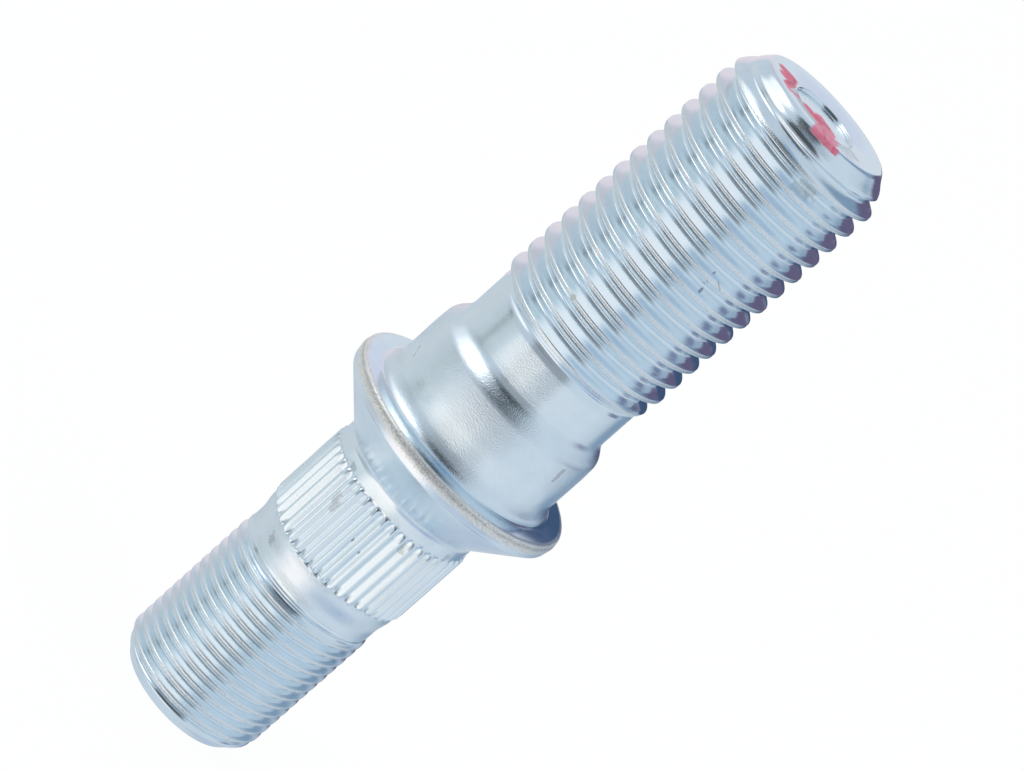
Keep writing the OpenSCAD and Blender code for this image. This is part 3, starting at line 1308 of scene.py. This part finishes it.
@dataclass(frozen=True)
class Weathering:
    """Where the forged grain and the wear show.

    Args:
        rolled_grain: Strength of the grain on threads and serrations.
        face_grain: Strength on the collar's face.
        rim_grain: Strength on the rest of the collar.
        neck_grain: Strength on the neck above the fine thread.
        plain_grain: Least strength on the other plain parts.
        face_h: Depth below the collar's top that counts as its face.
        fillet_share: Share of the corner curve that counts as spigot.
        foot_h: Height of the grainy foot of the spigot over the face, and half its length.
        end_from: Height over the face at which the grainy end begins, and over which it grows.
        end_to: Height at which it ends, and over which it fades.
        streak: Turn of a grainy streak from the front and half its width, in degrees.
        rim_in: How far in from the rim the wear begins, and over which length it grows.
        worn_from: Where on the rim the wear begins, and over which share of it it grows.
        worn_to: Where it ends, and over which share it fades.
        line_at: Where the dirty line lies on the rim, and half its width.
    """

    rolled_grain: float = 0.2
    face_grain: float = 0.15
    rim_grain: float = 0.5
    neck_grain: float = 0.9
    plain_grain: float = 0.25
    face_h: float = 0.6 * MM
    fillet_share: float = 0.6
    foot_h: float = 1.2 * MM
    end_from: Point = (3.5 * MM, 2.0 * MM)
    end_to: Point = (12.0 * MM, 3.0 * MM)
    streak: Point = (38.0, 9.0)
    rim_in: Point = (0.8 * MM, 0.4 * MM)
    worn_from: Point = (0.3, 0.15)
    worn_to: Point = (1.02, 0.12)
    line_at: Point = (0.72, 0.16)


@dataclass
class WheelBolt:
    """The whole bolt as one closed skin.

    Args:
        shank: Its middle.
        serrations: Its serrations.
        total: Its length.
        plating: Its finish.
        wear: Where grain and wear show.
    """

    shank: Shank = field(default_factory=Shank)
    serrations: Serrations = field(default_factory=Serrations)
    total: float = 0.0
    plating: ZincPlating = field(default_factory=ZincPlating)
    wear: Weathering = field(default_factory=Weathering)

    def threads(self) -> tuple[RolledThread, RolledThread]:
        """The fine and the coarse thread."""
        fine = RolledThread(
            crest_d=18.85 * MM, blank_d=self.shank.neck_d, pitch=1.5 * MM, depth=0.86 * MM, root_r=0.15 * MM,
            lip_r=0.1 * MM, seam_depth=0.01 * MM, hand=Hand.RIGHT, lead=1.31 * MM, face_z=0.0,
            chamfer=Chamfer(15.6 * MM, 18.85 * MM, barrel=0.05 * MM),
            free_end=End.BOTTOM, shank_z=self.shank.neck_z, lip_steps=3)
        coarse = RolledThread(
            crest_d=21.8 * MM, blank_d=self.shank.roll_d, pitch=2.5 * MM, depth=1.4 * MM, root_r=0.36 * MM,
            lip_r=0.13 * MM, seam_depth=0.025 * MM, hand=Hand.LEFT, lead=self.total - 3.48 * MM,
            face_z=self.total, chamfer=Chamfer(16.7 * MM, 21.8 * MM),
            free_end=End.TOP, shank_z=self.total - 38.0 * MM)
        return fine, coarse

    def graininess(self, place: Vector) -> float:
        """How strongly the forged grain shows on the plain parts: most at the spigot's end and its foot."""
        wear, top = self.wear, self.shank.collar_top()
        radius = math.hypot(place.x, place.y)
        if radius > self.shank.spigot_d / 2 + wear.fillet_share * self.shank.collar_fillet:
            return wear.face_grain if place.z > top - wear.face_h else wear.rim_grain
        if place.z < self.shank.serration_low:
            return wear.neck_grain
        foot = math.exp(-((place.z - top - wear.foot_h) / wear.foot_h) ** 2)
        begun = ease((place.z - top - wear.end_from[0]) / wear.end_from[1])
        end = begun * ease((top + wear.end_to[0] - place.z) / wear.end_to[1])
        turn = math.degrees(turn_from_front(place.x, place.y))
        streak = math.exp(-((turn - wear.streak[0]) / wear.streak[1]) ** 2)
        return wear.plain_grain + (1 - wear.plain_grain) * max(foot, end, streak)

    def weather(self, skin: bmesh.types.BMesh, fine: RolledThread, coarse: RolledThread) -> None:
        """Writes on the skin where the crests are, where the forged grain shows and where the rim is worn.

        Args:
            skin: The whole skin.
            fine: The fine thread.
            coarse: The coarse thread.
        """
        names = ("crest", "grainy", "worn", "worn_line")
        layers = {name: skin.verts.layers.float.new(name) for name in names}
        wear, rim_low = self.wear, self.shank.rim_z()
        rim_h, inner_r = self.shank.collar_top() - rim_low, self.shank.rim_d / 2 - self.wear.rim_in[0]
        for vert in skin.verts:
            radius = math.hypot(vert.co.x, vert.co.y)
            threaded = fine.holds(vert.co) or coarse.holds(vert.co)
            rolled = threaded or self.serrations.low < vert.co.z < self.serrations.high
            share = (vert.co.z - rim_low) / rim_h
            outer = ease((radius - inner_r) / wear.rim_in[1])
            worn = ease((share - wear.worn_from[0]) / wear.worn_from[1])
            vert[layers["crest"]] = max(fine.seam(vert.co), coarse.seam(vert.co))
            vert[layers["grainy"]] = wear.rolled_grain if rolled else self.graininess(vert.co)
            vert[layers["worn"]] = outer * worn * ease((wear.worn_to[0] - share) / wear.worn_to[1])
            vert[layers["worn_line"]] = outer * ease(1 - abs(share - wear.line_at[0]) / wear.line_at[1])

    def build(self) -> bpy.types.Object:
        """Builds the skin from its sections and dresses it.

        Returns:
            The bolt's object.
        """
        fine, coarse = self.threads()
        sections = [
            EndFace(0.0, fine.chamfer, End.BOTTOM, ring_h=0.15 * MM).section(),
            fine.section(),
            self.shank.neck(),
            self.serrations.section(),
            self.shank.collar(coarse.shank_z),
            coarse.section(),
            EndFace(self.total, coarse.chamfer, End.TOP, ring_h=0.35 * MM, dish=Dish()).section(),
        ]
        skin = bmesh.new()
        carrier = bpy.data.meshes.new("section")
        for section in sections:
            section.mesh.to_mesh(carrier)
            section.mesh.free()
            skin.from_mesh(carrier)
            LOG.info("section from %s to %s", section.low, section.high)
        bpy.data.meshes.remove(carrier)
        for below, above in zip(sections, sections[1:]):
            rings = open_ring(skin, below.high) + open_ring(skin, above.low)
            bmesh.ops.bridge_loops(skin, edges=rings)
        bmesh.ops.recalc_face_normals(skin, faces=skin.faces[:])
        left_open = sum(1 for edge in skin.edges if not edge.is_manifold)
        if left_open:
            raise ValueError(f"the skin has {left_open} open edges")
        self.weather(skin, fine, coarse)
        for face in skin.faces:
            face.smooth = True
        mesh = bpy.data.meshes.new("wheel_bolt")
        skin.to_mesh(mesh)
        skin.free()
        mesh.materials.append(ZincMaterial(self.plating, self.total).build())
        bolt = put_in_scene("wheel_bolt", mesh)
        LOG.info("wheel_bolt: %d faces", len(mesh.polygons))
        return bolt


@dataclass
class Camera:
    """The camera, at the photograph's viewing angle.

    Args:
        lens: Focal length in millimetres.
        sensor: Width of the sensor in millimetres.
        distance: Distance from the target.
        target: The point that it looks at.
        elevation: How far it looks down, in degrees.
        roll: How far it is tilted, in degrees.
        clip: The nearest and the farthest distance that it sees.
    """

    lens: float = 154.7
    sensor: float = 36.0
    distance: float = 471.9 * MM
    target: tuple[float, float, float] = (-0.95 * MM, 0.0, 52.55 * MM)
    elevation: float = 18.0
    roll: float = 48.25
    clip: Point = (0.01, 20.0)

    def place(self) -> bpy.types.Object:
        """Sets the camera up and makes it the scene's.

        Returns:
            The camera.
        """
        data = bpy.data.cameras.new("camera")
        data.lens, data.sensor_width = self.lens, self.sensor
        data.clip_start, data.clip_end = self.clip
        camera = put_in_scene("camera", data)
        lift = math.radians(self.elevation)
        back = Vector((0.0, -math.cos(lift), math.sin(lift)))
        level = Vector((1.0, 0.0, 0.0))
        rolled = Matrix.Rotation(math.radians(self.roll), 3, back)
        view = Matrix((rolled @ level, rolled @ back.cross(level), back)).transposed().to_4x4()
        camera.matrix_world = Matrix.Translation(Vector(self.target) + back * self.distance) @ view
        bpy.context.scene.camera = camera
        return camera


@dataclass(frozen=True)
class Card:
    """A soft-edged patch of the room, which the plating mirrors.

    Args:
        colour: The light that it gives.
        turn: Azimuth of its centre from the front towards -X, in degrees.
        half_width: Half its width in degrees.
        low: Elevation of its lower edge in degrees.
        high: Elevation of its upper edge in degrees.
        soft: Width over which its sides fade, in degrees.
        edge: Height over which its lower and upper edge fade, in degrees.
    """

    colour: Colour
    turn: float = 0.0
    half_width: float = 400.0
    low: float = -100.0
    high: float = 100.0
    soft: float = 10.0
    edge: float = 8.0


@dataclass(frozen=True)
class NearCard:
    """A small flat card close behind the bolt, which only the plating sees.

    Args:
        colour: The light that it gives.
        place: Its centre in millimetres.
        width: Its width in millimetres.
        height: Its height in millimetres.
    """

    colour: Colour
    place: tuple[float, float, float]
    width: float
    height: float

    def stand(self) -> bpy.types.Object:
        """Stands the card up, facing the bolt's axis."""
        material, graph = empty_material("near_card")
        glow = graph.add("ShaderNodeEmission")
        graph.feed(glow.inputs["Color"], self.colour)
        graph.finish("ShaderNodeOutputMaterial", glow)
        card = sheet("near_card", 1.0, material)
        card.location = [part * MM for part in self.place]
        card.scale = (self.width * MM, self.height * MM, 1.0)
        outward = Vector((card.location.x, card.location.y, 0.0))
        card.rotation_euler = outward.to_track_quat("Z", "Y").to_euler()
        card.visible_camera = False
        card.visible_diffuse = False
        card.visible_shadow = False
        return card


def card_window() -> bpy.types.NodeTree:
    """Makes the node group that tells how much of a direction a card covers.

    Returns:
        The group, with angles in radians as its inputs and the mask as its output.
    """
    angles = ("Turn", "Lift", "Centre", "Half width", "Soft", "Low", "High", "Edge")
    graph = empty_group("card_window", (), angles, ("Mask",))
    given = graph.add("NodeGroupInput").outputs
    off = graph.math("WRAP", graph.minus(given["Turn"], given["Centre"]), -math.pi, math.pi)
    inside = graph.minus(given["Half width"], graph.math("ABSOLUTE", off))
    above = graph.minus(given["Lift"], given["Low"])
    below = graph.minus(given["High"], given["Lift"])
    mask: object = 1.0
    for depth, width in ((inside, given["Soft"]), (above, given["Edge"]), (below, given["Edge"])):
        share = graph.plus(graph.math("DIVIDE", depth, width), 0.5)
        mask = graph.times(mask, graph.spread(share, 0.0, 1.0))
    graph.feed(graph.add("NodeGroupOutput").inputs["Mask"], mask)
    return graph.tree


@dataclass
class Studio:
    """A pale floor, a soft lamp, small near cards and the pale room that the plating mirrors.

    Args:
        floor_size: Length of the floor's sides.
        floor_colour: Its colour.
        show_through: Share of it that shows plain white to the camera.
        white_strength: How bright that white is.
        lamp_power: Power of the lamp in watts.
        lamp_size: Diameter of the lamp.
        lamp_turn: Its azimuth from the front towards -X, in degrees.
        lamp_lift: Its elevation in degrees.
        lamp_distance: Its distance from the bolt's middle.
        wall_colour: Light of the room away from the cards.
        cards: The room's cards, where a later one covers an earlier one.
        near_cards: The near cards.
    """

    floor_size: float = 8.0
    floor_colour: Colour = (0.85, 0.85, 0.86)
    show_through: float = 0.93
    white_strength: float = 1.03
    lamp_power: float = 0.35
    lamp_size: float = 0.28
    lamp_turn: float = 70.0
    lamp_lift: float = 42.0
    lamp_distance: float = 0.7
    wall_colour: Colour = (0.60, 0.67, 0.74)
    cards: tuple[Card, ...] = (
        Card((0.66, 0.73, 0.80), turn=-72, half_width=40, soft=30),
        Card((0.77, 0.81, 0.86), turn=-62, half_width=36, low=-28, high=-16, soft=24),
        Card((0.57, 0.62, 0.65), turn=78, half_width=18, low=-50, high=12, soft=16, edge=10),
        Card((0.28, 0.31, 0.34), turn=80, half_width=4, low=-19, high=4, soft=6, edge=3),
        Card((0.78, 0.84, 0.85), turn=74, half_width=26, low=-31, high=-20, soft=16, edge=3),
        Card((0.50, 0.52, 0.57), turn=88, half_width=20, low=-56, high=-31, soft=12, edge=4),
        Card((0.66, 0.70, 0.73), turn=122, half_width=22, low=-55, high=16, soft=18, edge=10),
        Card((0.84, 0.75, 0.80), turn=165, half_width=12, low=-12, high=40, soft=8, edge=8),
        Card((0.62, 0.60, 0.65), turn=147, half_width=9, low=22, high=52, soft=8, edge=8),
        Card((0.24, 0.34, 0.46), turn=-148, half_width=18, low=18, high=60, soft=20, edge=12),
        Card((0.48, 0.55, 0.65), turn=-146, half_width=16, low=0, high=20, soft=16, edge=8),
        Card((0.24, 0.34, 0.46), turn=-148, half_width=18, low=-24, high=0, soft=20, edge=10),
        Card((0.50, 0.58, 0.70), turn=-160, half_width=14, low=-56, high=-34, soft=12, edge=10),
        Card((0.10, 0.10, 0.19), turn=-166, half_width=10, low=-15, high=16, soft=5, edge=5),
        Card((0.70, 0.72, 0.84), turn=180, half_width=12, low=15, high=42, soft=6, edge=4),
        Card((0.72, 0.77, 0.83), turn=180, half_width=14, low=2, high=19, soft=6, edge=3),
        Card((0.50, 0.56, 0.63), low=83, edge=8),
        Card((0.48, 0.53, 0.60), turn=-48, half_width=22, low=58, high=84, soft=16, edge=8),
        Card((0.36, 0.39, 0.43), turn=0, half_width=30, low=-16.8, high=82, soft=10, edge=1.2),
        Card((0.08, 0.09, 0.10), turn=2, half_width=33, low=26, high=68, soft=12, edge=12),
        Card((1.16, 1.16, 1.16), turn=82, half_width=32, low=21, high=56, soft=10, edge=8),
        Card((0.25, 0.42, 0.62), turn=-30, half_width=45, low=72, soft=20, edge=5),
        Card((0.66, 0.73, 0.79), high=-62, edge=12),
        Card((0.84, 0.87, 0.89), turn=-22, half_width=16, low=-30, high=-19.2, soft=14, edge=2),
        Card((1.14, 1.10, 1.06), turn=20, half_width=30, low=-62, high=-19.2, soft=16, edge=1.5),
        Card((1.14, 1.10, 1.06), turn=27, half_width=26, low=-22, high=-16.8, soft=14, edge=1.2),
        Card((0.36, 0.44, 0.61), turn=-80, half_width=20, low=-54, high=-34, soft=16, edge=4),
        Card((0.52, 0.60, 0.72), turn=-36, half_width=26, low=-56, high=-33, soft=16, edge=4),
        Card((1.22, 1.10, 1.07), turn=24, half_width=25, low=-56, high=-32, soft=16, edge=6),
    )
    near_cards: tuple[NearCard, ...] = (
        NearCard((0.14, 0.12, 0.21), place=(36.0, 63.0, 105.5), width=30.0, height=45.0),
        NearCard((0.05, 0.09, 0.18), place=(29.0, 68.0, 65.0), width=40.0, height=31.0),
        NearCard((0.17, 0.33, 0.56), place=(4.0, 67.0, 77.0), width=14.0, height=26.0),
        NearCard((0.24, 0.25, 0.37), place=(88.0, 30.0, 53.0), width=30.0, height=27.0),
    )

    def floor(self) -> bpy.types.Object:
        """Lays the floor, white to the camera but for the bolt's shadow."""
        material, graph = empty_material("pale_floor")
        paths = graph.add("ShaderNodeLightPath")
        diffuse = graph.add("ShaderNodeBsdfDiffuse")
        graph.feed(diffuse.inputs["Color"], self.floor_colour)
        white = graph.add("ShaderNodeEmission")
        seen = graph.math("MAXIMUM", paths.outputs["Is Camera Ray"], paths.outputs["Is Glossy Ray"])
        seen = graph.math("MAXIMUM", seen, paths.outputs["Is Transmission Ray"])
        mixed = graph.add("ShaderNodeMixShader")
        graph.feed(mixed.inputs[0], graph.times(seen, self.show_through))
        graph.feed(mixed.inputs[1], diffuse.outputs[0])
        graph.feed(white.inputs["Strength"], self.white_strength)
        graph.feed(mixed.inputs[2], white.outputs[0])
        graph.finish("ShaderNodeOutputMaterial", mixed)
        floor = sheet("floor", self.floor_size, material)
        floor.visible_glossy = False
        return floor

    def room(self) -> None:
        """Sets the cards up round the bolt, and shows plain white to the camera."""
        world = bpy.data.worlds.new("room")
        bpy.context.scene.world = world
        world.use_nodes = True
        world.node_tree.nodes.clear()
        graph = Graph(world.node_tree)
        way = graph.add("ShaderNodeSeparateXYZ")
        graph.feed(way.inputs[0], graph.add("ShaderNodeTexCoord").outputs["Generated"])
        turn = graph.math("ARCTAN2", graph.times(way.outputs["X"], -1.0), graph.times(way.outputs["Y"], -1.0))
        lift = graph.math("ARCSINE", way.outputs["Z"])
        window = card_window()
        colour: object = self.wall_colour
        for card in self.cards:
            mask = graph.add("ShaderNodeGroup", node_tree=window)
            graph.feed(mask.inputs["Turn"], turn)
            graph.feed(mask.inputs["Lift"], lift)
            for name, angle in (("Centre", card.turn), ("Half width", card.half_width), ("Soft", card.soft),
                                ("Low", card.low), ("High", card.high), ("Edge", card.edge)):
                graph.feed(mask.inputs[name], math.radians(angle))
            colour = graph.blend(mask.outputs["Mask"], colour, card.colour)
        seen = graph.add("ShaderNodeLightPath").outputs["Is Camera Ray"]
        light = graph.add("ShaderNodeBackground")
        graph.feed(light.inputs["Color"], graph.blend(seen, colour, (1.0, 1.0, 1.0)))
        graph.finish("ShaderNodeOutputWorld", light)

    def lamp(self) -> bpy.types.Object:
        """Hangs one soft lamp at the upper left of the view."""
        data = bpy.data.lights.new("soft_lamp", "AREA")
        data.shape, data.size, data.energy = "DISK", self.lamp_size, self.lamp_power
        lamp = put_in_scene("soft_lamp", data)
        turn, lift = math.radians(self.lamp_turn), math.radians(self.lamp_lift)
        way = Vector((-math.sin(turn) * math.cos(lift), -math.cos(turn) * math.cos(lift), math.sin(lift)))
        centre = Vector((0.0, 0.0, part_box(NODE)[1].z / 2))
        lamp.location = centre + way * self.lamp_distance
        lamp.rotation_euler = (-way).to_track_quat("-Z", "Y").to_euler()
        return lamp


def main() -> None:
    """Builds the bolt, its setting and the camera."""
    logging.basicConfig(level=logging.INFO, format="%(name)s: %(message)s")
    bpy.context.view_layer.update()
    Camera().place()
    bolt = WheelBolt(total=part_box(NODE)[1].z).build()
    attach(bolt, BODY)
    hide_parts(NODE)
    studio = Studio()
    studio.floor()
    studio.room()
    studio.lamp()
    for card in studio.near_cards:
        card.stand()
    bpy.context.scene.view_settings.view_transform = "Standard"


if __name__ == "__main__":
    main()
